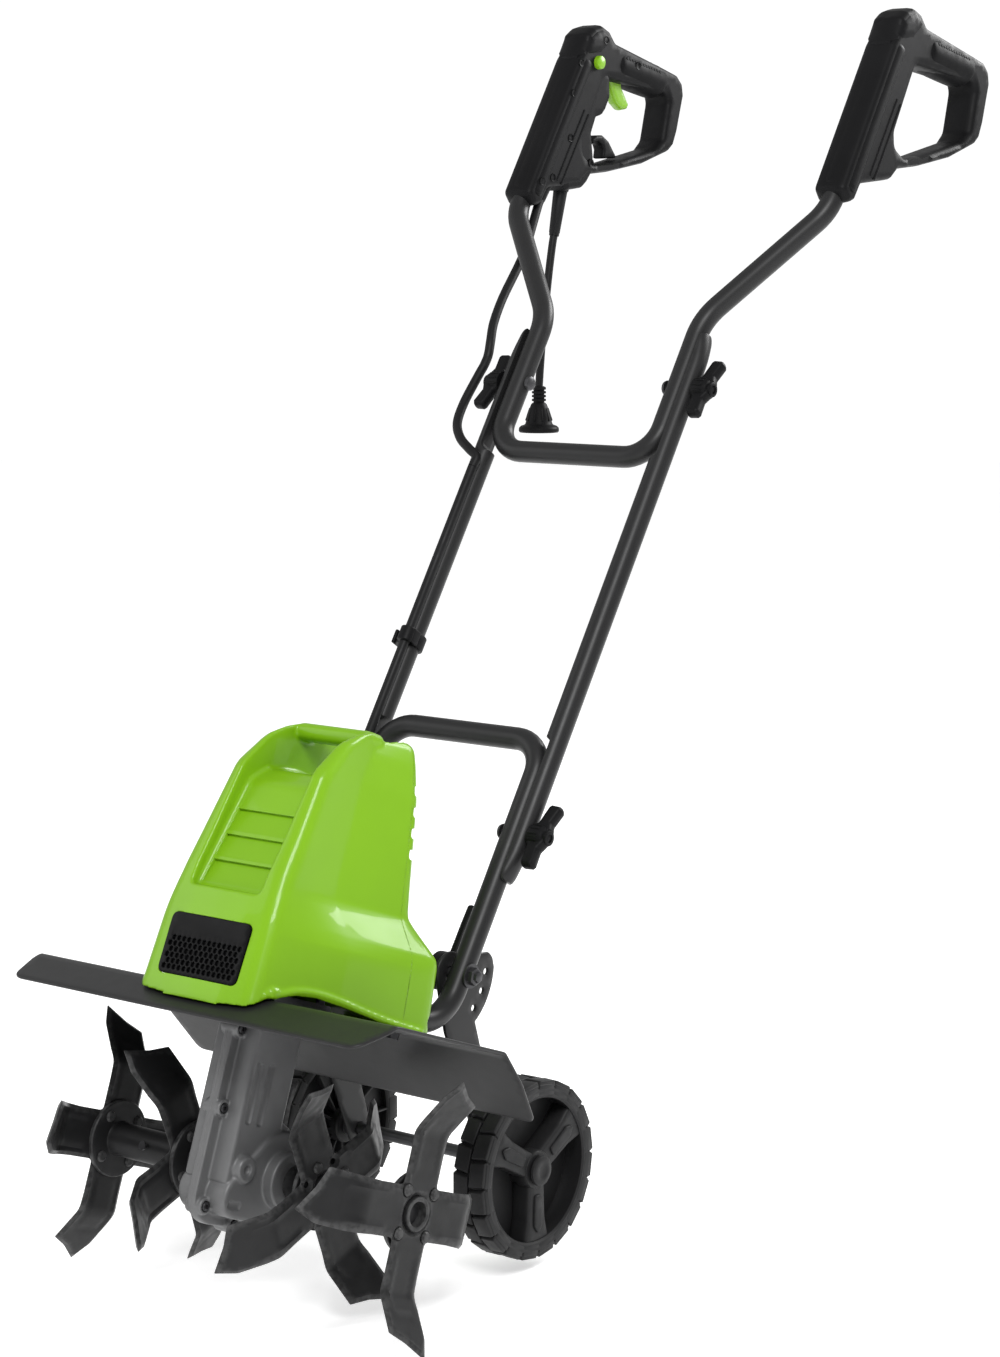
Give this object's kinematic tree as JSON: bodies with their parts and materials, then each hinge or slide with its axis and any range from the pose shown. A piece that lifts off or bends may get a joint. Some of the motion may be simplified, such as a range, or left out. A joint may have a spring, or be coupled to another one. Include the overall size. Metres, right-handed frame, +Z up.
{
  "type": "mini cultivator",
  "caption": "Corded mini cultivator with upright motor over a worm gearbox, cross-shaped tine discs, sheet deck, swing-up wheels and a folding tube handle with D grips.",
  "frame": {"origin": "centre of the footprint on the ground under the machine", "axes": "+X to the side of the handle without the switch, +Y back to the operator, +Z up"},
  "size_m": [0.3782, 0.8533, 0.9823],
  "materials": {
    "green_plastic": "satin gloss moulded, leaf green",
    "black_plastic": "fine grain moulded",
    "frame_paint": "satin powder coat, charcoal",
    "tine_paint": "satin powder coat, charcoal",
    "gearbox_cast": "die cast, fine grain grey",
    "steel": "zinc plated",
    "core_steel": "laminated",
    "copper": "enamelled copper",
    "bronze": "machined bronze",
    "label_black": "satin",
    "cable_rubber": "satin flex",
    "wheel_plastic": "moulded",
    "green_accent": "satin gloss moulded, leaf green"
  },
  "bodies": {
    "chassis": {"deck": "frame_paint", "cover_front": "green_plastic", "cover_rear": "green_plastic", "label_panel": "label_black", "gearbox_left": "gearbox_cast", "gearbox_right": "gearbox_cast", "housing_screws": "steel", "motor_base": "core_steel", "stator": "core_steel", "field_coils": "copper", "end_bracket": "gearbox_cast", "brush_holders": "bronze", "drive_bearings": "steel", "lower_frame": "frame_paint", "frame_bolts": "steel", "pivot_bolts": "steel", "lever_spring": "steel", "cable_grommet": "cable_rubber", "cable_lower_loop": "cable_rubber"},
    "armature": {"armature_shaft": "steel", "armature_core": "core_steel", "commutator": "copper", "cooling_fan": "black_plastic", "worm": "steel"},
    "tines": {"tine_shaft": "steel", "worm_wheel": "bronze", "hub_tubes": "tine_paint", "tine_outer_left": "tine_paint", "tine_inner_left": "tine_paint", "tine_inner_right": "tine_paint", "tine_outer_right": "tine_paint", "tine_rivets": "tine_paint", "hitch_pins": "steel"},
    "wheel_bracket": {"wheel_arm_left": "frame_paint", "wheel_arm_right": "frame_paint", "wheel_axle": "steel", "wheel_caps": "wheel_plastic"},
    "left_wheel": {"wheel_left": "wheel_plastic"},
    "right_wheel": {"wheel_right": "wheel_plastic"},
    "lever": {"lock_lever": "black_plastic"},
    "middle_handle": {"middle_tube_left": "frame_paint", "middle_tube_right": "frame_paint", "fold_bolts": "steel", "cable_clip": "black_plastic", "cable_middle": "cable_rubber", "cable_upper_loop": "cable_rubber"},
    "upper_handle": {"upper_frame": "frame_paint", "grip_left": "black_plastic", "grip_right": "black_plastic", "switch_block": "label_black", "cable_upper": "cable_rubber", "strain_reliefs": "cable_rubber", "mains_lead": "cable_rubber", "plug": "black_plastic"},
    "switch_trigger": {"trigger": "green_accent"},
    "lock_off_button": {"lock_button": "green_accent"},
    "lower_left_knob": {"knob_lower_left": "black_plastic"},
    "lower_right_knob": {"knob_lower_right": "black_plastic"},
    "upper_left_knob": {"knob_upper_left": "black_plastic"},
    "upper_right_knob": {"knob_upper_right": "black_plastic"}
  },
  "joints": [
    {"name": "tine_spin", "type": "hinge", "parent": "chassis", "child": "tines", "pos_m": [0, -0.3253, 0.1014], "axis": [1, 0, 0], "continuous": true},
    {"name": "armature_spin", "type": "hinge", "parent": "chassis", "child": "armature", "pos_m": [0, -0.36007, 0.11405], "axis": [0, 0.342, 0.9397], "continuous": true},
    {"name": "wheel_lift", "type": "hinge", "parent": "chassis", "child": "wheel_bracket", "pos_m": [0, -0.18422, 0.23921], "axis": [1, 0, 0], "range_deg": [0, 75]},
    {"name": "left_wheel_spin", "type": "hinge", "parent": "wheel_bracket", "child": "left_wheel", "pos_m": [-0.101, -0.1323, 0.0794], "axis": [1, 0, 0], "continuous": true},
    {"name": "right_wheel_spin", "type": "hinge", "parent": "wheel_bracket", "child": "right_wheel", "pos_m": [0.101, -0.1323, 0.0794], "axis": [1, 0, 0], "continuous": true},
    {"name": "lever_press", "type": "hinge", "parent": "chassis", "child": "lever", "pos_m": [0, -0.18422, 0.23921], "axis": [1, 0, 0], "range_deg": [-20, 0], "stiffness_Nm_per_rad": 0.6, "springref_deg": 5.73},
    {"name": "lower_fold", "type": "hinge", "parent": "chassis", "child": "middle_handle", "pos_m": [0, -0.1203, 0.3384], "axis": [1, 0, 0], "range_deg": [0, 118], "deforming": ["cable_lower_loop"]},
    {"name": "upper_fold", "type": "hinge", "parent": "middle_handle", "child": "upper_handle", "pos_m": [0, 0.09476, 0.6721], "axis": [1, 0, 0], "range_deg": [-150, 0], "deforming": ["cable_upper_loop"]},
    {"name": "trigger_pull", "type": "hinge", "parent": "upper_handle", "child": "switch_trigger", "pos_m": [0, 0.3197, 0.9404], "axis": [1, 0, 0], "range_deg": [0, 8], "stiffness_Nm_per_rad": 0.4, "springref_deg": -8.59},
    {"name": "lock_press", "type": "slide", "parent": "upper_handle", "child": "lock_off_button", "axis": [-1, 0, 0], "range_m": [0, 0.003], "stiffness_N_per_m": 300, "springref_m": -0.002},
    {"name": "lower_left_knob_turn", "type": "hinge", "parent": "middle_handle", "child": "lower_left_knob", "pos_m": [-0.107, -0.1203, 0.3384], "axis": [1, 0, 0], "continuous": true},
    {"name": "lower_right_knob_turn", "type": "hinge", "parent": "middle_handle", "child": "lower_right_knob", "pos_m": [0.107, -0.1203, 0.3384], "axis": [1, 0, 0], "continuous": true},
    {"name": "upper_left_knob_turn", "type": "hinge", "parent": "middle_handle", "child": "upper_left_knob", "pos_m": [-0.107, 0.09476, 0.6721], "axis": [1, 0, 0], "continuous": true},
    {"name": "upper_right_knob_turn", "type": "hinge", "parent": "middle_handle", "child": "upper_right_knob", "pos_m": [0.107, 0.09476, 0.6721], "axis": [1, 0, 0], "continuous": true}
  ],
  "couplings": [
    {"joint": "armature_spin", "follows": "tine_spin", "ratio": 24}
  ]
}
